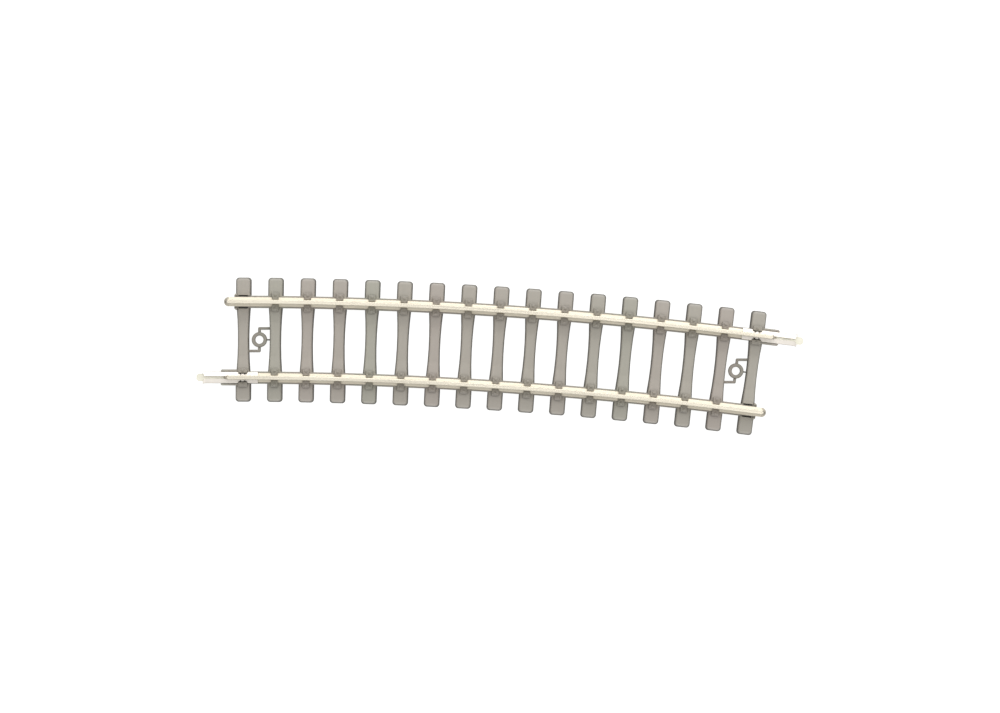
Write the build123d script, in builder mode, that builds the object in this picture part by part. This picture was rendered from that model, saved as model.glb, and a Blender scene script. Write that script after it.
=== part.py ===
"""Curved N gauge track section: one moulded sleeper base, two rails and two sliding rail joiners.

Frame, in millimetres: the origin is on the track centreline at the left-hand joint, on the surface that the
sleepers stand on. +X runs along the track at that joint, +Y points away from the centre of the curve, +Z is up.
"""

import os
from math import atan, cos, degrees, radians, sin

from build123d import *

# --- Curve and sleeper spacing ---
CURVE_RADIUS = 526.2  # track centreline
CURVE_ANGLE = 7.5  # degrees turned between the two joints
SLEEPER_COUNT = 17
END_OVERHANG = 2.38  # along the centreline, from a rail tip to the middle of the nearest sleeper
ARC_LENGTH = CURVE_RADIUS * radians(CURVE_ANGLE)
SLEEPER_PITCH = (ARC_LENGTH - 2 * END_OVERHANG) / (SLEEPER_COUNT - 1)

# --- Rail section, heights measured from the underside of the foot ---
TRACK_GAUGE = 9.0  # between the inner faces of the two heads
HEAD_HALF = 0.26
FOOT_HALF = 0.58
WEB_HALF = 0.13
RAIL_HEIGHT = 2.05
HEAD_UNDERSIDE = 1.46  # where the web meets the head
HEAD_SKIRT = 1.53  # lower edge of the head's side
HEAD_CORNER = 0.06
FOOT_EDGE = 0.20
FOOT_CREST = 0.26  # where the sloping top of the foot meets the web
NOSE_EDGE = 0.02  # upright part of the foot's edge at the round nose of each rail end
NOSE_BEVEL = 0.28  # width of the slope on the foot there
NOSE_SPARE = 0.01  # keeps the cut nose clear of the foot's sides and the running surface
ROOT_RIB = 0.03  # rib left beside the web's root at the nose
HEAD_NOSE = 0.50  # nose radius of the web at its root; the foot's is its half width
HEAD_LEAN = 0.22  # how far the web and the head lean back from there
HEAD_EASING = 0.12  # bevel that eases the running surface down at the nose

# --- Sleepers ---
SEAT_HEIGHT = 1.75  # rail seats above the ground
SLEEPER_HALF_LENGTH = 7.82
SLEEPER_END_HALF = 0.985  # half width outside the rails, at the ground
WAIST_HALF = 0.72  # half width at mid length
WAIST_POINTS = [(0.785, 2.5), (0.87, 3.8)]  # half width, distance from the middle
WAIST_END = 5.8  # where the waist reaches the full width
SLEEPER_CORNER = 0.42
SIDE_DRAFT = 0.15  # how far each side leans in between the ground and the rail seat
MIDDLE_HEIGHT = 1.40
END_HEIGHT = 1.50
MIDDLE_FLAT = 2.2  # half length of the low middle
SEAT_START = 3.55
SEAT_END = 6.15
TOP_BEND = 1.6  # radius where the top changes slope
TOP_EDGE = 0.20  # rounding of the top edges

# --- Strips under the rails ---
STRIP_HALF = 0.775
STRIP_BOTTOM = 0.50
STRIP_TOP = 1.70

# --- Rail fastenings, heights measured from the rail seat ---
CLIP_LENGTH = 0.85
CLIP_OUTER = 1.20  # from the middle of the rail
CLIP_TIP = 0.35
CLIP_SHOULDER_WIDTH = 0.12
CLIP_RISE = 0.73  # from the middle of the rail to the clip's full height
CLIP_SINK = 0.15  # how deep the clips are rooted in the sleeper
LIP_TOP = 0.50
CLIP_TOP = 0.60
CLIP_SHOULDER = 0.42
FIT_GAP = 0.015  # between the moulding and the rail foot
CORE_LENGTH = 0.62  # opening left by the mould's core under each clip
SCREW_RADIUS = 0.17
SCREW_OFFSET = 0.93
SCREW_TOP = 0.70
KEEPER_LENGTH = 1.08
KEEPER_TIP = 0.49
KEEPER_TIP_TOP = 0.56  # the tip leans back to here
KEEPER_INNER = 0.77  # clear of the joiner's side
KEEPER_UNDERSIDE = 0.39
KEEPER_TOP = 0.62
KEEPER_EASE = 0.06  # how much lower its tip is

# --- Rail joiners, folded from thin sheet ---
JOINER_SHEET = 0.12
JOINER_INNER_HALF = 0.61
JOINER_SLIT_HALF = 0.16
JOINER_PLAY = 0.02  # below the foot
JOINER_LIFT = 0.025  # above the foot's sloping top
JOINER_GRIP = 4.26  # length held on its own rail
JOINER_LIPS = 2.68  # length of the lips beyond the rail tip
JOINER_TONGUE = 0.79  # base plate beyond the lips
TONGUE_HALF = 0.48
TONGUE_CORNER = 0.24
MOUTH_LENGTH = 0.30
MOUTH_FLARE = 0.05
MOUTH_NOTCH = 0.26  # depth of the V cut in the ends of the lips
FOLD = 0.05  # rounding of the folded sheet

# --- Details at the two ends, distances measured outwards from the middle of the end sleeper ---
POCKET_FLOOR = 1.59
POCKET_HALF = 0.78
POCKET_SPARE = 0.10  # beyond the joiner's inner end
CHANNEL_HALF = 0.80  # open channel for the neighbour's joiner
CHANNEL_START = -1.55
GROOVE_LENGTH = 1.16  # deep grooves beside the foot, on the seat under a free rail end
GROOVE_WIDTH = 0.18
GROOVE_OFFSET = 0.76
GROOVE_FLOOR = 0.85
LUG_REACH = 1.12
LUG_START = 0.75
LUG_HALF = 1.04
LUG_CORNER = 0.20
LUG_BOTTOM = 0.80
LUG_TOP = 1.92
PRONG_START = KEEPER_LENGTH / 2
PRONG_REACH = 2.78
PRONG_HALF = 1.01
PRONG_TOP = 2.00
PRONG_CORNER = 0.14
CRADLE_BOTTOM = 0.80

# --- Nail rings between the end sleepers ---
RING_OUTER = 0.955
RING_HOLE = 0.52
RING_HEIGHT = 1.00
RING_ROUND = 0.14  # rounding of its top edges
ARM_WIDTH = 0.33
ARM_HEIGHT = 0.80
ARM_ROUND = 0.12
ARM_OFFSET = 1.42  # from the hole to the arms that run along the track
STUB_WIDTH = 0.18
STUB_HEIGHT = 0.50

RAIL_OFFSET = TRACK_GAUGE / 2 + HEAD_HALF
OUTER_RADIUS = CURVE_RADIUS + RAIL_OFFSET
INNER_RADIUS = CURVE_RADIUS - RAIL_OFFSET
FOOT_SLOPE = (FOOT_CREST - FOOT_EDGE) / (FOOT_HALF - WEB_HALF)
LIP_THICKNESS = JOINER_SHEET / cos(atan(FOOT_SLOPE))
JOINER_OUTER_HALF = JOINER_INNER_HALF + JOINER_SHEET
CURVE_AXIS = Axis((0, -CURVE_RADIUS, 0), (0, 0, -1))
END_ANGLE = radians(CURVE_ANGLE)
SLEEPER_ANGLES = [(END_OVERHANG + i * SLEEPER_PITCH) / CURVE_RADIUS for i in range(SLEEPER_COUNT)]
FIRST, LAST = SLEEPER_ANGLES[0], SLEEPER_ANGLES[-1]


def foot_top(offset):
    """Height of the foot's sloping top at a distance from the middle of the rail."""
    return FOOT_EDGE + FOOT_SLOPE * (FOOT_HALF - offset)


def on_curve(angle, radius, turn=0):
    """A place on a curve about the track's centre. Its X runs along the track, turned by so many degrees."""
    return Location(
        (radius * sin(angle), radius * cos(angle) - CURVE_RADIUS, 0),
        (0, 0, turn - degrees(angle)),
    )


def facing_left(angle, radius):
    """A place on a curve with its X pointing out of the left-hand end of the track."""
    return on_curve(angle, radius, turn=180)


def blunt_block(start, reach, half, corner):
    """Corners of a block that stands out along X, its two outer corners cut off."""
    side = [(start, half), (reach - corner, half), (reach, half - corner)]
    return side + [(x, -y) for x, y in reversed(side)]


def across(place, height):
    """The upright plane across the rail at a place: its X runs across the rail and its Y is up."""
    frame = Plane(place).offset(height)
    return Plane(origin=frame.origin, x_dir=frame.y_dir, z_dir=frame.x_dir)


PLAIN_SEATS = [on_curve(a, r) for a in SLEEPER_ANGLES[1:-1] for r in (OUTER_RADIUS, INNER_RADIUS)]
FREE_SEATS = [facing_left(FIRST, OUTER_RADIUS), on_curve(LAST, INNER_RADIUS)]
JOINER_SEATS = [facing_left(FIRST, INNER_RADIUS), on_curve(LAST, OUTER_RADIUS)]

# --- One sleeper: a waisted concrete shape with a low middle and two rail seats ---
with BuildPart() as sleeper:
    for height, inset in ((0, 0), (SEAT_HEIGHT, SIDE_DRAFT)):
        full = SLEEPER_END_HALF - inset
        half = SLEEPER_HALF_LENGTH - inset
        waist = [(inset - x, -y) for x, y in reversed(WAIST_POINTS)]
        waist += [(inset - WAIST_HALF, 0)]
        waist += [(inset - x, y) for x, y in WAIST_POINTS]
        with BuildSketch(Plane.XY.offset(height)) as outline:
            with BuildLine():
                Spline((-full, -WAIST_END), *waist, (-full, WAIST_END), tangents=[(0, 1), (0, 1)])
                Polyline((-full, WAIST_END), (-full, half), (0, half))
                Polyline((-full, -WAIST_END), (-full, -half), (0, -half))
                mirror(about=Plane.YZ)
            make_face()
            fillet(outline.vertices().group_by(Axis.Y)[0], SLEEPER_CORNER)
            fillet(outline.vertices().group_by(Axis.Y)[-1], SLEEPER_CORNER)
    loft(ruled=True)
    with BuildSketch(Plane.YZ) as side_view:
        with BuildLine():
            Polyline(
                (0, 0),
                (2 * SLEEPER_HALF_LENGTH, 0),
                (2 * SLEEPER_HALF_LENGTH, END_HEIGHT),
                (SLEEPER_HALF_LENGTH, END_HEIGHT),
                (SEAT_END, SEAT_HEIGHT),
                (SEAT_START, SEAT_HEIGHT),
                (MIDDLE_FLAT, MIDDLE_HEIGHT),
                (0, MIDDLE_HEIGHT),
            )
            mirror(about=Plane.YZ)
        make_face()
        fillet([v for v in side_view.vertices() if MIDDLE_FLAT <= abs(v.X) <= SEAT_END], TOP_BEND)
    extrude(amount=2 * SLEEPER_END_HALF, both=True, mode=Mode.INTERSECT)
    top_edges = [e for f in sleeper.faces() if f.normal_at().Z > 0.9 for e in f.edges()]
    fillet([e for e in top_edges if sum(e.is_same(x) for x in top_edges) == 1], TOP_EDGE)

# --- The two clips of one rail seat, at the seat's height ---
with BuildPart() as clips:
    with BuildSketch(Plane.YZ):
        with BuildLine():
            Polyline(
                (CLIP_TIP, foot_top(CLIP_TIP) + FIT_GAP),
                (CLIP_TIP, LIP_TOP),
                (CLIP_RISE, CLIP_TOP),
                (CLIP_OUTER - CLIP_SHOULDER_WIDTH, CLIP_TOP),
                (CLIP_OUTER, CLIP_SHOULDER),
                (CLIP_OUTER, -CLIP_SINK),
                (FOOT_HALF + FIT_GAP, -CLIP_SINK),
                (FOOT_HALF + FIT_GAP, foot_top(FOOT_HALF) + FIT_GAP),
                close=True,
            )
        make_face()
        mirror(about=Plane.YZ)
    extrude(amount=CLIP_LENGTH / 2, both=True)
    with BuildSketch(Plane.XY):
        with Locations((0, SCREW_OFFSET), (0, -SCREW_OFFSET)):
            Circle(SCREW_RADIUS)
    extrude(amount=SCREW_TOP)

# --- The two keepers of a joiner's seat: they hook over the joiner and let it slide ---
with BuildPart() as keepers:
    with BuildSketch(Plane.YZ):
        with BuildLine():
            Polyline(
                (KEEPER_TIP, KEEPER_UNDERSIDE),
                (KEEPER_TIP_TOP, KEEPER_TOP - KEEPER_EASE),
                (CLIP_RISE, KEEPER_TOP),
                (CLIP_OUTER - CLIP_SHOULDER_WIDTH, KEEPER_TOP),
                (CLIP_OUTER, CLIP_SHOULDER),
                (CLIP_OUTER, -CLIP_SINK),
                (POCKET_HALF, -CLIP_SINK),
                (KEEPER_INNER, KEEPER_UNDERSIDE),
                close=True,
            )
        make_face()
        mirror(about=Plane.YZ)
    extrude(amount=KEEPER_LENGTH / 2, both=True)
    with BuildSketch(Plane.XY):
        with Locations((0, SCREW_OFFSET), (0, -SCREW_OFFSET)):
            Circle(SCREW_RADIUS)
    extrude(amount=SCREW_TOP)

# --- The nail rings: an arm to each neighbouring sleeper and a thin stub to one of them ---
nail_rings = []
for ring_angle in ((FIRST + SLEEPER_ANGLES[1]) / 2, (SLEEPER_ANGLES[-2] + LAST) / 2):
    with BuildPart() as nail_ring:
        with BuildSketch():
            with Locations((0, ARM_OFFSET / 2), (0, -ARM_OFFSET / 2)):
                Rectangle(ARM_WIDTH, ARM_OFFSET)
            for side in (1, -1):
                with Locations(Location((0, side * ARM_OFFSET, 0), (0, 0, degrees(ring_angle)))):
                    Circle(ARM_WIDTH / 2)
                    with Locations((side * SLEEPER_PITCH / 4, 0)):
                        Rectangle(SLEEPER_PITCH / 2, ARM_WIDTH)
        extrude(amount=ARM_HEIGHT)
        fillet(nail_ring.faces().sort_by(Axis.Z)[-1].edges(), ARM_ROUND)
        with BuildSketch():
            with Locations((SLEEPER_PITCH / 4, 0)):
                Rectangle(SLEEPER_PITCH / 2, STUB_WIDTH)
        extrude(amount=STUB_HEIGHT)
        with BuildSketch():
            Circle(RING_OUTER)
        extrude(amount=RING_HEIGHT)
        with BuildSketch():
            Circle(RING_HOLE)
        extrude(amount=RING_HEIGHT, mode=Mode.SUBTRACT)
        fillet(nail_ring.edges().filter_by(GeomType.CIRCLE).group_by(Axis.Z)[-1], RING_ROUND)
    nail_rings.append((on_curve(ring_angle, CURVE_RADIUS), nail_ring.part))

# --- The sleeper base: seventeen sleepers and everything moulded with them ---
with BuildPart() as sleeper_base:
    with Locations(*[on_curve(a, CURVE_RADIUS) for a in SLEEPER_ANGLES]):
        add(sleeper.part)

    # strips that join the sleepers under each rail
    strip_middle = (STRIP_BOTTOM + STRIP_TOP) / 2
    with BuildSketch(across(on_curve(FIRST, CURVE_RADIUS), 0)):
        with Locations((RAIL_OFFSET, strip_middle), (-RAIL_OFFSET, strip_middle)):
            Rectangle(2 * STRIP_HALF, STRIP_TOP - STRIP_BOTTOM)
    revolve(axis=CURVE_AXIS, revolution_arc=degrees(LAST - FIRST))

    # prongs that carry the joiner beyond the end sleeper, and short lugs for the neighbour's joiner
    with BuildSketch(Plane.XY.offset(CRADLE_BOTTOM)):
        with Locations(*JOINER_SEATS):
            Polygon(*blunt_block(PRONG_START, PRONG_REACH, PRONG_HALF, PRONG_CORNER), align=None)
    extrude(amount=PRONG_TOP - CRADLE_BOTTOM)
    with BuildSketch(Plane.XY.offset(LUG_BOTTOM)):
        with Locations(*FREE_SEATS):
            Polygon(*blunt_block(LUG_START, LUG_REACH, LUG_HALF, LUG_CORNER), align=None)
    extrude(amount=LUG_TOP - LUG_BOTTOM)

    # pocket for the joiner, and open channel for the neighbour's joiner
    pocket_start = END_OVERHANG - JOINER_GRIP - POCKET_SPARE
    with BuildSketch(Plane.XY.offset(POCKET_FLOOR)):
        with Locations(*JOINER_SEATS):
            with Locations(((pocket_start + 2 * PRONG_REACH) / 2, 0)):
                Rectangle(2 * PRONG_REACH - pocket_start, 2 * POCKET_HALF)
        with Locations(*FREE_SEATS):
            with Locations(((CHANNEL_START + 2 * LUG_REACH) / 2, 0)):
                Rectangle(2 * LUG_REACH - CHANNEL_START, 2 * CHANNEL_HALF)
    extrude(amount=RAIL_HEIGHT, mode=Mode.SUBTRACT)
    with BuildSketch(Plane.XY.offset(GROOVE_FLOOR)):
        with Locations(*FREE_SEATS):
            with Locations((0, GROOVE_OFFSET), (0, -GROOVE_OFFSET)):
                Rectangle(GROOVE_LENGTH, GROOVE_WIDTH)
    extrude(amount=RAIL_HEIGHT, mode=Mode.SUBTRACT)

    # openings that the mould's cores leave under the clips
    core_middle = (CLIP_TIP + FOOT_HALF) / 2
    with BuildSketch(Plane.XY):
        with Locations(*PLAIN_SEATS):
            with Locations((0, core_middle), (0, -core_middle)):
                Rectangle(CORE_LENGTH, FOOT_HALF - CLIP_TIP)
    extrude(amount=2 * SEAT_HEIGHT, mode=Mode.SUBTRACT)

    # clips and keepers
    with Locations(*[place * Location((0, 0, SEAT_HEIGHT)) for place in PLAIN_SEATS]):
        add(clips.part)
    with Locations(*[place * Location((0, 0, SEAT_HEIGHT)) for place in JOINER_SEATS]):
        add(keepers.part)

    # nail rings
    for place, ring in nail_rings:
        with Locations(place):
            add(ring)
sleeper_base.part.label = "sleeper_base"

# --- Rail section and the waste cut from each rail tip ---
with BuildSketch() as rail_section:
    with BuildLine():
        Polyline(
            (0, 0),
            (FOOT_HALF, 0),
            (FOOT_HALF, FOOT_EDGE),
            (WEB_HALF, FOOT_CREST),
            (WEB_HALF, HEAD_UNDERSIDE),
            (HEAD_HALF, HEAD_SKIRT),
            (HEAD_HALF, RAIL_HEIGHT),
            (0, RAIL_HEIGHT),
        )
        mirror(about=Plane.YZ)
    make_face()
    fillet(rail_section.vertices().group_by(Axis.Y)[-1].sort_by(Axis.X)[0], HEAD_CORNER)
    fillet(rail_section.vertices().group_by(Axis.Y)[-1].sort_by(Axis.X)[-1], HEAD_CORNER)

with BuildPart() as tip_waste:
    with Locations((-FOOT_HALF, 0, 0)):
        Box(2 * FOOT_HALF, 4 * FOOT_HALF, 4 * RAIL_HEIGHT, align=(Align.MIN, Align.CENTER, Align.CENTER))
    with BuildSketch(Plane(origin=(-FOOT_HALF, 0, 0), x_dir=(-1, 0, 0), z_dir=(0, 1, 0))):
        nose_crest = FOOT_CREST + NOSE_SPARE
        easing_foot = HEAD_NOSE - HEAD_LEAN
        easing_top = easing_foot - HEAD_EASING
        with BuildLine():
            Polyline(
                (0, 3 * RAIL_HEIGHT),
                (0, -3 * RAIL_HEIGHT),
                (FOOT_HALF + NOSE_SPARE, -3 * RAIL_HEIGHT),
                (FOOT_HALF + NOSE_SPARE, NOSE_EDGE),
                (FOOT_HALF - NOSE_BEVEL, nose_crest),
                (HEAD_NOSE, nose_crest),
                (easing_foot, RAIL_HEIGHT - HEAD_EASING),
                (easing_top, RAIL_HEIGHT + NOSE_SPARE),
                (easing_top, 3 * RAIL_HEIGHT),
                close=True,
            )
        make_face()
    revolve(axis=Axis((-FOOT_HALF, 0, 0), (0, 0, 1)), mode=Mode.SUBTRACT)
    with Locations((-FOOT_HALF, 0, 0)):
        Box(
            HEAD_NOSE, 2 * (WEB_HALF + ROOT_RIB), nose_crest,
            align=(Align.MIN, Align.CENTER, Align.MIN), mode=Mode.SUBTRACT,
        )

# --- The two rails, each drawn up to the middle of the curve and mirrored there ---
MIDDLE_ANGLE = radians(CURVE_ANGLE / 2)
MIDDLE_PLANE = Plane(origin=(0, -CURVE_RADIUS, 0), z_dir=(cos(MIDDLE_ANGLE), -sin(MIDDLE_ANGLE), 0))

with BuildPart() as outer_rail:
    with BuildSketch(across(on_curve(0, OUTER_RADIUS), SEAT_HEIGHT)):
        add(rail_section.sketch)
    revolve(axis=CURVE_AXIS, revolution_arc=CURVE_ANGLE / 2)
    with Locations(facing_left(0, OUTER_RADIUS) * Location((0, 0, SEAT_HEIGHT))):
        add(tip_waste.part, mode=Mode.SUBTRACT)
    mirror(about=MIDDLE_PLANE)
outer_rail.part.label = "outer_rail"

with BuildPart() as inner_rail:
    with BuildSketch(across(on_curve(0, INNER_RADIUS), SEAT_HEIGHT)):
        add(rail_section.sketch)
    revolve(axis=CURVE_AXIS, revolution_arc=CURVE_ANGLE / 2)
    with Locations(facing_left(0, INNER_RADIUS) * Location((0, 0, SEAT_HEIGHT))):
        add(tip_waste.part, mode=Mode.SUBTRACT)
    mirror(about=MIDDLE_PLANE)
inner_rail.part.label = "inner_rail"

# --- One rail joiner, with X out of the track from the rail tip and Z up from the rail seat ---
def joiner_half(flare):
    """Right half of the joiner's section, opened out by a flare at the mouth."""
    under = [foot_top(y) + JOINER_LIFT + flare for y in (JOINER_INNER_HALF, JOINER_SLIT_HALF)]
    outer_top = foot_top(JOINER_OUTER_HALF - FOLD) + JOINER_LIFT + flare + LIP_THICKNESS
    outer = JOINER_OUTER_HALF + flare
    return [
        (0, -JOINER_PLAY - JOINER_SHEET),
        (outer - FOLD, -JOINER_PLAY - JOINER_SHEET),
        (outer, -JOINER_PLAY - JOINER_SHEET + FOLD),
        (outer, outer_top - FOLD),
        (outer - FOLD, outer_top),
        (JOINER_SLIT_HALF + flare, under[1] + LIP_THICKNESS),
        (JOINER_SLIT_HALF + flare, under[1]),
        (JOINER_INNER_HALF + flare, under[0]),
        (JOINER_INNER_HALF + flare, -JOINER_PLAY),
        (0, -JOINER_PLAY),
    ]


with BuildPart() as joiner:
    mouth_start = JOINER_LIPS - MOUTH_LENGTH
    with BuildSketch(Plane.YZ.offset(-JOINER_GRIP)):
        with BuildLine():
            Polyline(*joiner_half(0))
            mirror(about=Plane.YZ)
        make_face()
    extrude(amount=JOINER_GRIP + mouth_start)
    for distance, flare in ((mouth_start, 0), (JOINER_LIPS, MOUTH_FLARE)):
        with BuildSketch(Plane.YZ.offset(distance)):
            with BuildLine():
                Polyline(*joiner_half(flare))
                mirror(about=Plane.YZ)
            make_face()
    loft(ruled=True)
    with BuildSketch(Plane.XY.offset(FOOT_EDGE / 2)):
        Polygon(
            (JOINER_LIPS - MOUTH_NOTCH, 0),
            (JOINER_LIPS, -JOINER_OUTER_HALF),
            (JOINER_LIPS, JOINER_OUTER_HALF),
            align=None,
        )
    extrude(amount=RAIL_HEIGHT, mode=Mode.SUBTRACT)
    with BuildSketch(Plane.XY.offset(-JOINER_PLAY - JOINER_SHEET)) as tongue:
        with Locations((mouth_start, 0)):
            Rectangle(
                JOINER_LIPS + JOINER_TONGUE - mouth_start, 2 * TONGUE_HALF, align=(Align.MIN, Align.CENTER)
            )
        chamfer(tongue.vertices().group_by(Axis.X)[-1], TONGUE_CORNER)
    extrude(amount=JOINER_SHEET)

with BuildPart() as outer_rail_joiner:
    with Locations(on_curve(END_ANGLE, OUTER_RADIUS) * Location((0, 0, SEAT_HEIGHT))):
        add(joiner.part)
outer_rail_joiner.part.label = "outer_rail_joiner"

with BuildPart() as inner_rail_joiner:
    with Locations(facing_left(0, INNER_RADIUS) * Location((0, 0, SEAT_HEIGHT))):
        add(joiner.part)
inner_rail_joiner.part.label = "inner_rail_joiner"

os.makedirs("parts", exist_ok=True)
export_step(sleeper_base.part, "parts/sleeper_base.step")
export_step(outer_rail.part, "parts/outer_rail.step")
export_step(inner_rail.part, "parts/inner_rail.step")
export_step(outer_rail_joiner.part, "parts/outer_rail_joiner.step")
export_step(inner_rail_joiner.part, "parts/inner_rail_joiner.step")
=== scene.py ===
"""Looks of the curved N gauge track section: grey sleeper moulding, nickel silver rails and joiners.

Sizes are in millimetres and turn into metres where meshes, lights and the camera are placed. Colours are
linear, and each noise size gives the length of its grains along the curve, across it and up.
"""

import math

import bmesh
import bpy
from mathutils import Matrix, Vector


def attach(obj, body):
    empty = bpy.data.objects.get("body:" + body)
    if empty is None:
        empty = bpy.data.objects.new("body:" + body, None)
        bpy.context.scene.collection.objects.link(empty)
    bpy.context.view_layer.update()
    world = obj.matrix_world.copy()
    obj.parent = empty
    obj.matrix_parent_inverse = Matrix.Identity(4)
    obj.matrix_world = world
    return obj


MM = 0.001

# --- Sizes that the CAD model has too ---
CURVE_RADIUS = 526.2
CURVE_ANGLE = 7.5
SLEEPER_COUNT = 17
END_OVERHANG = 2.38
SLEEPER_PITCH = (CURVE_RADIUS * math.radians(CURVE_ANGLE) - 2 * END_OVERHANG) / (SLEEPER_COUNT - 1)
SLEEPER_HALF_LENGTH = 7.82
RAIL_OFFSET = 4.76
SEAT_HEIGHT = 1.75
RAIL_TOP = 3.80
HEAD_UNDERSIDE = 3.21
CLIP_TOP_LINE = [  # distance from the middle of the rail, height above the seat
    (0.35, 0.50),
    (0.73, 0.60),
    (1.08, 0.60),
    (1.20, 0.42),
]
RING_TOP = 1.00
STUB_TOP = 0.50
KEEPER_LENGTH = 1.08
KEEPER_TIP_TOP = 0.56  # from the middle of the rail to where the keeper's tip meets its top
SCREW_OFFSET = 0.93
SCREW_TOP = 0.70

# --- Moulded spring clamps and screw heads ---
WIRE_RADIUS = 0.042
WIRE_SINK = 0.026  # how deep the wire is buried in the clip
WIRE_SIDES = 8
WIRE_STEPS = 3  # between two points of the clamp's path
CLAMP_PATH = [  # right half of one clamp: along the rail, away from the rail
    (0.00, 0.66),
    (0.13, 0.70),
    (0.17, 0.86),
    (0.17, 1.02),
    (0.25, 1.13),
    (0.35, 1.06),
    (0.38, 0.88),
    (0.35, 0.66),
    (0.28, 0.45),
    (0.24, 0.35),
]
HEX_SIDES = 6
HEX_RADIUS = 0.12
HEX_HEIGHT = 0.05
HEX_CHAMFER = 0.02

# --- Surfaces in general ---
NOISE_SPREAD = (0.3, 0.7)  # where most of a noise's values lie

# --- Plastic of the sleeper base ---
SLEEPER_GREENISH = (0.378, 0.373, 0.318, 1)
SLEEPER_PINKISH = (0.412, 0.368, 0.332, 1)
MOTTLE_SIZE = (1.6, 3.5, 1.6)
MOTTLE_GREYS = (0.30, 0.49)
MOTTLE_SHARE = 0.16
FLOW_SIZE = (0.22, 5.0, 0.6)
FLOW_GREYS = (0.27, 0.52)
FLOW_SHARE = 0.10
# Dirt and painted shade in the sleeper's corners and recesses, darkest where they are narrow
CORNER_DIRT_AND_SHADE = (0.115, 0.095, 0.070, 1)
CORNER_REACH = 0.28
CORNER_SHARE = 0.40
# Painted light: the sleeper ends are lighter, as if their top edges catch more light
PAINTED_END_LIGHT = (0.640, 0.615, 0.570, 1)
END_LIGHT_SHARE = 0.45
END_LIGHT_START = 0.45  # from the end of a sleeper
END_LIGHT_FULL = 0.10
# Painted shade on the rings and their arms, darker towards the ground
RING_SHADE = (0.150, 0.140, 0.115, 1)
RING_SHADE_SHARE = 0.40
RING_SHADE_FADE = 0.40  # height over which the painted shade ends above the rings
# Painted shade on the lowest parts, darkest at the stubs near the ground
GROUND_SHADE = (0.060, 0.055, 0.045, 1)
GROUND_SHADE_SHARE = 0.45
GROUND_SHADE_FADE = 0.25
# Painted shadow: a near-black line along the keepers' tips on the end sleepers
KEEPER_TIP_SHADOW = (0.016, 0.014, 0.011, 1)
KEEPER_SHADOW_SHARE = 0.95
KEEPER_SHADOW_FADE = 0.06  # away from the rail
KEEPER_SHADOW_END = 0.03  # past the keeper's ends
GRAIN_SIZE = (0.09, 0.09, 0.09)
GRAIN_DEPTH = 0.006
PIT_SIZE = (0.35, 0.35, 0.35)
PIT_DEPTH = 0.012
PLASTIC_ROUGHNESS = (0.52, 0.66)
PLASTIC_ROUNDING = 0.035

# --- Nickel silver of the rails ---
RAIL_COLOURS = ((0.812, 0.756, 0.628, 1), (0.862, 0.805, 0.678, 1))
RAIL_CLOUD_SIZE = (2.4, 0.8, 0.8)
STREAK_SIZE = (9.0, 0.055, 0.055)
STREAK_COLOUR = (0.62, 0.56, 0.45, 1)
STREAK_RANGE = (0.42, 0.75)  # noise values where streaks start and are full
STREAK_SHARE = 0.35
STREAK_DEPTH = 0.0016
BAND_SIZE = (14.0, 0.22, 0.22)
BAND_DEPTH = 0.004
TARNISH = (0.55, 0.48, 0.37, 1)
TARNISH_SHARE = 0.12  # at the foot
# Dirt and painted shade in the rail's crevices
RAIL_DIRT_AND_SHADE = (0.10, 0.085, 0.06, 1)
RAIL_DIRT_AND_SHADE_REACH = 0.22
RAIL_DIRT_AND_SHADE_SHARE = 0.6
POLISH_START = 0.10  # below the running surface
POLISH_FULL = 0.02
POLISHED_ROUGHNESS = (0.20, 0.32)
DULL_ROUGHNESS = (0.44, 0.54)
RAIL_ROUNDING = 0.03

# --- Nickel silver of the joiners ---
JOINER_COLOURS = ((0.910, 0.855, 0.785, 1), (0.955, 0.905, 0.840, 1))
JOINER_CLOUD_SIZE = (0.9, 0.5, 0.5)
ROLLED_SIZE = (3.0, 0.05, 0.05)
ROLLED_COLOUR = (0.66, 0.63, 0.54, 1)
ROLLED_RANGE = (0.45, 0.75)
ROLLED_SHARE = 0.25
ROLLED_DEPTH = 0.0014
BASE_PLATE_COLOUR = (0.78, 0.76, 0.655, 1)
BASE_PLATE_FADE = 0.08
# Dirt and painted shade where the joiner meets the keepers and the rail
JOINER_DIRT_AND_SHADE = (0.10, 0.09, 0.07, 1)
JOINER_DIRT_AND_SHADE_REACH = 0.22
JOINER_DIRT_AND_SHADE_SHARE = 0.8
# Painted shadow: near black in the narrowest gaps beside the keepers
JOINER_GAP_SHADOW = (0.02, 0.02, 0.018, 1)
JOINER_GAP_SHADOW_REACH = 0.30
JOINER_GAP_SHADOW_RANGE = (0.50, 0.68)  # openness where the painted shadow is full and where it ends
JOINER_ROUGHNESS = (0.42, 0.54)
JOINER_ROUNDING = 0.025

# --- Camera ---
VIEW_CENTRE = (34.66, -2.13)
VIEW_WIDTH = 125.25  # across the picture, at the height of the rails
CAMERA_LENS = 200.0
CAMERA_SENSOR = 36.0
CAMERA_NEAR = 0.01  # metres
CAMERA_FAR = 20.0

# --- Floor and light ---
FLOOR_HALF = 3.0  # metres
FLOOR_DROP = 0.02  # keeps the floor clear of the faces that stand on it
KEY_DIRECTION = (0.28, 0.6, 1.0)
KEY_DISTANCE = 1.5  # metres, like its size
KEY_SIZE = 1.6
KEY_POWER = 13.0
KEY_COLOUR = (1.0, 0.99, 0.97)
SKY_RAMP = (-0.2, 0.9, 0.20, 0.74)  # from low to high directions, and the brightness of each
BESIDE_SHARE = 0.55  # how much the directions beside the track count as high ones


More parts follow.
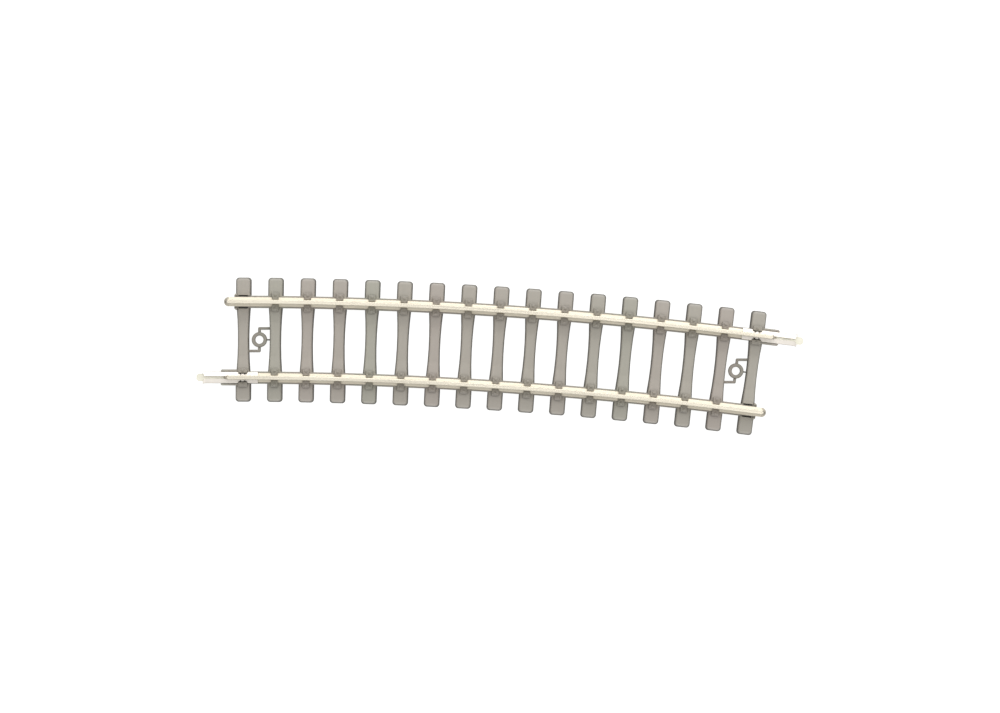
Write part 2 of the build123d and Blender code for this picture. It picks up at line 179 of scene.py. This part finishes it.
class Nodes:
    """The node tree of one material."""

    def __init__(self, name):
        self.material = bpy.data.materials.new(name)
        self.material.use_nodes = True
        self.tree = self.material.node_tree
        self.tree.nodes.clear()

    def add(self, kind, inputs=None, **settings):
        """Adds a node. Inputs are values or other nodes' outputs, by socket name or number."""
        node = self.tree.nodes.new(kind)
        for name, value in settings.items():
            setattr(node, name, value)
        for key, value in (inputs or {}).items():
            if isinstance(value, bpy.types.NodeSocket):
                self.tree.links.new(value, node.inputs[key])
            else:
                node.inputs[key].default_value = value
        return node

    def math(self, operation, *values):
        """The result of a math node."""
        return self.add("ShaderNodeMath", dict(enumerate(values)), operation=operation).outputs[0]

    def range(self, value, low, high, to_low, to_high):
        """A value moved from one range to another, and kept inside it."""
        inputs = {0: value, 1: low, 2: high, 3: to_low, 4: to_high}
        return self.add("ShaderNodeMapRange", inputs, clamp=True).outputs[0]

    def mix(self, share, first, second, blend="MIX"):
        """Two colours mixed."""
        node = self.add("ShaderNodeMix", {0: share}, data_type="RGBA", blend_type=blend)
        for index, colour in ((6, first), (7, second)):
            if isinstance(colour, bpy.types.NodeSocket):
                self.tree.links.new(colour, node.inputs[index])
            else:
                node.inputs[index].default_value = colour
        return node.outputs[2]

    def noise(self, vector, stretch, detail=2.0, roughness=0.5):
        """Noise whose grains are so many millimetres long in each direction."""
        scale = tuple(1 / s for s in stretch)
        scaled = self.add("ShaderNodeVectorMath", {0: vector, 1: scale}, operation="MULTIPLY")
        inputs = {"Vector": scaled.outputs[0], "Scale": 1.0, "Detail": detail, "Roughness": roughness}
        return self.add("ShaderNodeTexNoise", inputs).outputs["Fac"]

    def bump(self, height, depth, normal=None):
        """A bumped normal. Depth is in millimetres."""
        inputs = {"Height": height, "Strength": 1.0, "Distance": depth * MM}
        if normal is not None:
            inputs["Normal"] = normal
        return self.add("ShaderNodeBump", inputs).outputs[0]

    def rounded(self, radius):
        """A normal that rounds off edges. The radius is in millimetres."""
        return self.add("ShaderNodeBevel", {"Radius": radius * MM}, samples=4).outputs[0]

    def principled(self, **inputs):
        """The finished material, from the inputs of a principled shader with _ for each space."""
        named = {name.replace("_", " "): value for name, value in inputs.items()}
        return self.finish(self.add("ShaderNodeBsdfPrincipled", named).outputs[0])

    def finish(self, shader):
        """The material, with the shader as its surface."""
        self.add("ShaderNodeOutputMaterial", {"Surface": shader})
        return self.material


def track_place(nodes):
    """Where a point is on the track, in millimetres: along the curve, out from the centreline, up."""
    point = nodes.add("ShaderNodeTexCoord").outputs["Object"]
    from_centre = nodes.add(
        "ShaderNodeVectorMath", {0: point, 1: (0, CURVE_RADIUS * MM, 0)}, operation="ADD"
    )
    parts = nodes.add("ShaderNodeSeparateXYZ", {0: from_centre.outputs[0]}).outputs
    angle = nodes.math("ARCTAN2", parts["X"], parts["Y"])
    along = nodes.math("MULTIPLY", angle, CURVE_RADIUS)
    flat = nodes.add("ShaderNodeCombineXYZ", {0: parts["X"], 1: parts["Y"]})
    radius = nodes.add("ShaderNodeVectorMath", {0: flat.outputs[0]}, operation="LENGTH")
    radius_mm = nodes.math("DIVIDE", radius.outputs["Value"], MM)
    across = nodes.math("SUBTRACT", radius_mm, CURVE_RADIUS)
    up = nodes.math("DIVIDE", parts["Z"], MM)
    place = nodes.add("ShaderNodeCombineXYZ", {0: along, 1: across, 2: up}).outputs[0]
    return place, along, across, up


def crevices(nodes, reach, strength, closed=0.15, clear=0.75):
    """A share that reaches its strength in crevices narrower than the reach, and is 0 in the open."""
    inputs = {"Distance": reach * MM}
    openness = nodes.add("ShaderNodeAmbientOcclusion", inputs, samples=6).outputs["AO"]
    return nodes.range(openness, closed, clear, strength, 0.0)


def keeper_tips(nodes, along, across):
    """High close to the rails on the end sleepers, so on the keepers' tips, where a near-black shadow is
    painted.
    """
    half_arc = CURVE_RADIUS * math.radians(CURVE_ANGLE) / 2
    from_middle = nodes.math("ABSOLUTE", nodes.math("SUBTRACT", along, half_arc))
    from_sleeper = nodes.math("ABSOLUTE", nodes.math("SUBTRACT", from_middle, half_arc - END_OVERHANG))
    from_centreline = nodes.math("ABSOLUTE", across)
    from_rail = nodes.math("ABSOLUTE", nodes.math("SUBTRACT", from_centreline, RAIL_OFFSET))
    keeper_end = KEEPER_LENGTH / 2
    beside = nodes.range(from_sleeper, keeper_end, keeper_end + KEEPER_SHADOW_END, 1.0, 0.0)
    fade_end = KEEPER_TIP_TOP + KEEPER_SHADOW_FADE
    at_tip = nodes.range(from_rail, KEEPER_TIP_TOP, fade_end, KEEPER_SHADOW_SHARE, 0.0)
    return nodes.math("MULTIPLY", beside, at_tip)


def grey(value):
    """A warm grey as a linear colour."""
    return (value, value * 0.945, value * 0.84, 1.0)


def sleeper_tone(nodes, along):
    """Grey plastic, a little greener or pinker from sleeper to sleeper."""
    steps = nodes.math("DIVIDE", nodes.math("SUBTRACT", along, END_OVERHANG), SLEEPER_PITCH)
    number = nodes.math("ROUND", steps)
    tone = nodes.add("ShaderNodeTexWhiteNoise", {"W": number}, noise_dimensions="1D").outputs["Value"]
    return nodes.mix(tone, SLEEPER_GREENISH, SLEEPER_PINKISH)


def sleeper_dirt_and_painted_light(nodes, base, along, across, up):
    """Adds dirt and painted shade in the corners, painted light on the sleeper ends, painted shade low down
    and a painted shadow at the keepers' tips to the sleeper base's colour.
    """
    # Dirt and painted shade in corners and recesses
    base = nodes.mix(crevices(nodes, CORNER_REACH, CORNER_SHARE), base, CORNER_DIRT_AND_SHADE)
    # Painted light on the sleeper ends
    from_centreline = nodes.math("ABSOLUTE", across)
    lit_ends_start = SLEEPER_HALF_LENGTH - END_LIGHT_START
    lit_ends_full = SLEEPER_HALF_LENGTH - END_LIGHT_FULL
    lit_ends = nodes.range(from_centreline, lit_ends_start, lit_ends_full, 0.0, END_LIGHT_SHARE)
    base = nodes.mix(lit_ends, base, PAINTED_END_LIGHT)
    # Painted shade low down: on the rings and darkest near the ground
    low = nodes.range(up, RING_TOP, RING_TOP + RING_SHADE_FADE, RING_SHADE_SHARE, 0.0)
    base = nodes.mix(low, base, RING_SHADE)
    lowest = nodes.range(up, STUB_TOP, STUB_TOP + GROUND_SHADE_FADE, GROUND_SHADE_SHARE, 0.0)
    base = nodes.mix(lowest, base, GROUND_SHADE)
    # Painted shadow at the keepers' tips
    return nodes.mix(keeper_tips(nodes, along, across), base, KEEPER_TIP_SHADOW)


def sleeper_plastic():
    """Matt grey moulded plastic: fine concrete grain, faint flow marks, a little dirt and painted shade in
    the corners, painted shade low down, painted light on the ends and a painted shadow at the keepers'
    tips.
    """
    nodes = Nodes("sleeper_plastic")
    place, along, across, up = track_place(nodes)
    base = sleeper_tone(nodes, along)
    mottle = nodes.noise(place, MOTTLE_SIZE, detail=3)
    base = nodes.mix(MOTTLE_SHARE, base, nodes.mix(mottle, *map(grey, MOTTLE_GREYS)))
    flow = nodes.noise(place, FLOW_SIZE)
    base = nodes.mix(FLOW_SHARE, base, nodes.mix(flow, *map(grey, FLOW_GREYS)))
    base = sleeper_dirt_and_painted_light(nodes, base, along, across, up)
    grain = nodes.noise(place, GRAIN_SIZE, detail=3, roughness=0.6)
    pits = nodes.noise(place, PIT_SIZE)
    normal = nodes.bump(pits, PIT_DEPTH, nodes.bump(grain, GRAIN_DEPTH, nodes.rounded(PLASTIC_ROUNDING)))
    roughness = nodes.range(grain, *NOISE_SPREAD, *PLASTIC_ROUGHNESS)
    return nodes.principled(Base_Color=base, Roughness=roughness, Normal=normal, Specular_IOR_Level=0.35)


def rail_metal():
    """Drawn nickel silver: fine streaks along the rail, a polished running surface, duller web and foot,
    dirt and painted shade in crevices.
    """
    nodes = Nodes("rail_metal")
    place, _, _, up = track_place(nodes)
    streaks = nodes.noise(place, STREAK_SIZE, detail=3, roughness=0.6)
    bands = nodes.noise(place, BAND_SIZE, detail=1)
    colour = nodes.mix(nodes.noise(place, RAIL_CLOUD_SIZE), *RAIL_COLOURS)
    colour = nodes.mix(nodes.range(streaks, *STREAK_RANGE, 0.0, STREAK_SHARE), colour, STREAK_COLOUR)
    tarnish = nodes.range(up, HEAD_UNDERSIDE, SEAT_HEIGHT, 0.0, TARNISH_SHARE)
    colour = nodes.mix(tarnish, colour, TARNISH)
    # Dirt and painted shade in crevices
    colour = nodes.mix(crevices(nodes, RAIL_DIRT_AND_SHADE_REACH, RAIL_DIRT_AND_SHADE_SHARE), colour, RAIL_DIRT_AND_SHADE)
    polished = nodes.range(up, RAIL_TOP - POLISH_START, RAIL_TOP - POLISH_FULL, 0.0, 1.0)
    dull = nodes.range(bands, *NOISE_SPREAD, *DULL_ROUGHNESS)
    bright = nodes.range(bands, *NOISE_SPREAD, *POLISHED_ROUGHNESS)
    roughness = nodes.add("ShaderNodeMix", {0: polished, 2: dull, 3: bright}, data_type="FLOAT").outputs[0]
    normal = nodes.bump(bands, BAND_DEPTH, nodes.rounded(RAIL_ROUNDING))
    normal = nodes.bump(streaks, STREAK_DEPTH, normal)
    return nodes.principled(Base_Color=colour, Metallic=1.0, Roughness=roughness, Normal=normal)


def joiner_metal():
    """Folded nickel silver sheet: rolled grain, dirt and painted shade, and a near-black painted shadow in
    the narrowest gaps, where a lip meets a keeper or the rail.
    """
    nodes = Nodes("joiner_metal")
    place, _, _, up = track_place(nodes)
    rolled = nodes.noise(place, ROLLED_SIZE, detail=3, roughness=0.65)
    cloud = nodes.noise(place, JOINER_CLOUD_SIZE)
    colour = nodes.mix(cloud, *JOINER_COLOURS)
    colour = nodes.mix(nodes.range(rolled, *ROLLED_RANGE, 0.0, ROLLED_SHARE), colour, ROLLED_COLOUR)
    base_plate = nodes.range(up, SEAT_HEIGHT, SEAT_HEIGHT + BASE_PLATE_FADE, 1.0, 0.0)
    colour = nodes.mix(base_plate, colour, BASE_PLATE_COLOUR)
    # Dirt and painted shade in crevices
    colour = nodes.mix(crevices(nodes, JOINER_DIRT_AND_SHADE_REACH, JOINER_DIRT_AND_SHADE_SHARE), colour, JOINER_DIRT_AND_SHADE)
    # Painted shadow, near black, in the narrowest gaps
    gap_shadow = crevices(nodes, JOINER_GAP_SHADOW_REACH, 1.0, *JOINER_GAP_SHADOW_RANGE)
    colour = nodes.mix(gap_shadow, colour, JOINER_GAP_SHADOW)
    roughness = nodes.range(cloud, *NOISE_SPREAD, *JOINER_ROUGHNESS)
    normal = nodes.bump(rolled, ROLLED_DEPTH, nodes.rounded(JOINER_ROUNDING))
    return nodes.principled(Base_Color=colour, Metallic=1.0, Roughness=roughness, Normal=normal)


def floor_paper():
    """White studio paper, bright enough to lose most of the shadow under the track."""
    nodes = Nodes("floor_paper")
    return nodes.principled(
        Base_Color=(0.25, 0.25, 0.25, 1),
        Roughness=0.9,
        Emission_Color=(1.0, 1.0, 0.995, 1),
        Emission_Strength=0.94,
    )


def set_material(obj, material):
    """Gives an object one material."""
    obj.data.materials.clear()
    obj.data.materials.append(material)


def clip_top(distance):
    """Height of a clip's upper surface above the seat, at a distance from the middle of the rail."""
    for (near, low), (far, high) in zip(CLIP_TOP_LINE, CLIP_TOP_LINE[1:]):
        if distance <= far:
            return low + (high - low) * max(0.0, distance - near) / (far - near)
    return CLIP_TOP_LINE[-1][1]


def smooth_path(points, steps):
    """Points of a Catmull-Rom curve through the given points."""
    ends = [2 * points[0] - points[1], *points, 2 * points[-1] - points[-2]]
    path = []
    for a, b, c, d in zip(ends, ends[1:], ends[2:], ends[3:]):
        linear = c - a
        squared = 2 * a - 5 * b + 4 * c - d
        cubed = 3 * b - a - 3 * c + d
        for i in range(steps):
            t = i / steps
            path.append(0.5 * (2 * b + linear * t + squared * t**2 + cubed * t**3))
    return path + [points[-1]]


def sweep(mesh, path, radius, matrix, sides):
    """Adds a closed round wire along a path to a mesh."""
    rings = []
    for i, point in enumerate(path):
        ahead = path[min(i + 1, len(path) - 1)] - path[max(i - 1, 0)]
        side = ahead.cross(Vector((0, 0, 1))).normalized()
        rise = side.cross(ahead).normalized()
        turns = [2 * math.pi * k / sides for k in range(sides)]
        ring = [point + radius * (math.cos(t) * side + math.sin(t) * rise) for t in turns]
        rings.append([mesh.verts.new(matrix @ (p * MM)) for p in ring])
    for one, two in zip(rings, rings[1:]):
        for k in range(sides):
            mesh.faces.new((one[k], one[k - 1], two[k - 1], two[k]))
    mesh.faces.new(rings[0])
    mesh.faces.new(reversed(rings[-1]))


def clamp_path():
    """The whole wire of one clamp, lying on its clip."""
    half = [Vector((x, y, clip_top(y) + WIRE_RADIUS - WIRE_SINK)) for x, y in CLAMP_PATH]
    mirrored = [Vector((-p.x, p.y, p.z)) for p in reversed(half[1:])]
    return smooth_path(mirrored + half, WIRE_STEPS)


def screw_head(mesh, matrix):
    """Adds one hexagonal screw head with a chamfered top."""
    levels = [
        (HEX_RADIUS, SCREW_TOP - HEX_CHAMFER),
        (HEX_RADIUS, SCREW_TOP + HEX_HEIGHT - HEX_CHAMFER),
        (HEX_RADIUS - HEX_CHAMFER, SCREW_TOP + HEX_HEIGHT),
    ]
    rings = []
    for radius, height in levels:
        angles = [2 * math.pi * k / HEX_SIDES for k in range(HEX_SIDES)]
        corners = [(radius * math.cos(a), SCREW_OFFSET + radius * math.sin(a)) for a in angles]
        ring = [Vector((*corner, height)) for corner in corners]
        rings.append([mesh.verts.new(matrix @ (p * MM)) for p in ring])
    for one, two in zip(rings, rings[1:]):
        for k in range(HEX_SIDES):
            mesh.faces.new((one[k - 1], one[k], two[k], two[k - 1]))
    mesh.faces.new(rings[-1])
    mesh.faces.new(reversed(rings[0]))


def seat_places():
    """The place of each clip: origin in the middle of the rail at its seat, Y away from the rail."""
    places = []
    for number in range(SLEEPER_COUNT):
        angle = (END_OVERHANG + number * SLEEPER_PITCH) / CURVE_RADIUS
        for offset in (RAIL_OFFSET, -RAIL_OFFSET):
            free = (number == 0 and offset > 0) or (number == SLEEPER_COUNT - 1 and offset < 0)
            if free:
                continue
            radius = CURVE_RADIUS + offset
            spot = Vector((radius * math.sin(angle), radius * math.cos(angle), SEAT_HEIGHT))
            spot.y -= CURVE_RADIUS
            for turn in (0, math.pi):
                places.append(Matrix.Translation(spot * MM) @ Matrix.Rotation(turn - angle, 4, "Z"))
    return places


def new_object(name, mesh):
    """An object made from a bmesh, riding on the track."""
    data = bpy.data.meshes.new(name)
    mesh.normal_update()
    mesh.to_mesh(data)
    mesh.free()
    obj = bpy.data.objects.new(name, data)
    bpy.context.scene.collection.objects.link(obj)
    return obj


def build_fastenings(material):
    """Spring clamps and screw heads moulded on the clips."""
    wires = bmesh.new()
    heads = bmesh.new()
    path = clamp_path()
    for place in seat_places():
        sweep(wires, path, WIRE_RADIUS, place, WIRE_SIDES)
        screw_head(heads, place)
    clamps = new_object("spring_clamps", wires)
    clamps.data.shade_smooth()
    screws = new_object("screw_heads", heads)
    for piece in (clamps, screws):
        set_material(piece, material)
        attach(piece, "track")


def add_light(name, direction, distance, size, power, colour):
    """A square soft light that shines on the middle of the track."""
    data = bpy.data.lights.new(name, "AREA")
    data.shape = "SQUARE"
    data.size = size
    data.energy = power
    data.color = colour
    light = bpy.data.objects.new(name, data)
    target = Vector((VIEW_CENTRE[0] * MM, VIEW_CENTRE[1] * MM, 0))
    light.location = target + Vector(direction).normalized() * distance
    light.rotation_euler = (target - light.location).to_track_quat("-Z", "Y").to_euler()
    bpy.context.scene.collection.objects.link(light)


def build_studio():
    """Floor, key light and colour handling."""
    floor_mesh = bmesh.new()
    bmesh.ops.create_grid(floor_mesh, x_segments=1, y_segments=1, size=FLOOR_HALF)
    floor = new_object("floor", floor_mesh)
    set_material(floor, floor_paper())
    floor.location.z = -FLOOR_DROP * MM
    floor.visible_diffuse = False
    floor.visible_glossy = False
    floor.visible_shadow = False

    add_light("key", KEY_DIRECTION, KEY_DISTANCE, KEY_SIZE, KEY_POWER, KEY_COLOUR)
    bpy.context.scene.view_settings.view_transform = "Standard"


def build_sky():
    """A white background that is brightest overhead and beside the track, and dim towards its ends."""
    world = bpy.data.worlds.new("studio")
    world.use_nodes = True
    sky = world.node_tree
    background = sky.nodes["Background"]
    direction = sky.nodes.new("ShaderNodeTexCoord")
    parts = sky.nodes.new("ShaderNodeSeparateXYZ")
    sideways = sky.nodes.new("ShaderNodeMath")
    sideways.operation = "ABSOLUTE"
    openness = sky.nodes.new("ShaderNodeMath")
    openness.operation = "MULTIPLY_ADD"
    openness.inputs[1].default_value = BESIDE_SHARE
    ramp = sky.nodes.new("ShaderNodeMapRange")
    ramp.interpolation_type = "SMOOTHSTEP"
    for index, value in enumerate(SKY_RAMP, 1):
        ramp.inputs[index].default_value = value
    sky.links.new(direction.outputs["Generated"], parts.inputs[0])
    sky.links.new(parts.outputs["Y"], sideways.inputs[0])
    sky.links.new(sideways.outputs[0], openness.inputs[0])
    sky.links.new(parts.outputs["Z"], openness.inputs[2])
    sky.links.new(openness.outputs[0], ramp.inputs[0])
    sky.links.new(ramp.outputs[0], background.inputs["Strength"])
    background.inputs["Color"].default_value = (1.0, 1.0, 1.0, 1.0)
    bpy.context.scene.world = world


def build_camera():
    """A long lens straight above the track, with +Y up in the picture."""
    data = bpy.data.cameras.new("camera")
    data.type = "PERSP"
    data.lens = CAMERA_LENS
    data.sensor_width = CAMERA_SENSOR
    distance = VIEW_WIDTH * CAMERA_LENS / CAMERA_SENSOR
    camera = bpy.data.objects.new("camera", data)
    camera.location = Vector((*VIEW_CENTRE, RAIL_TOP + distance)) * MM
    data.clip_start = CAMERA_NEAR
    data.clip_end = CAMERA_FAR
    bpy.context.scene.collection.objects.link(camera)
    bpy.context.scene.camera = camera


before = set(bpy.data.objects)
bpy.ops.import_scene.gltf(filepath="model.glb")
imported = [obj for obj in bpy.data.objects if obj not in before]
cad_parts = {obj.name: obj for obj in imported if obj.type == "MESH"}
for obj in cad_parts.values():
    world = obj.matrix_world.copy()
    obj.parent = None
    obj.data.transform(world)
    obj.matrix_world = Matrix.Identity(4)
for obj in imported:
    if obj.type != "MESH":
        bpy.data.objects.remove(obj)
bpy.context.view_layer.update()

plastic = sleeper_plastic()
rail_finish = rail_metal()
joiner_finish = joiner_metal()
set_material(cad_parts["sleeper_base"], plastic)
for rail in ("outer_rail", "inner_rail"):
    set_material(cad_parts[rail], rail_finish)
    set_material(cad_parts[rail + "_joiner"], joiner_finish)
build_fastenings(plastic)
build_studio()
build_sky()
build_camera()
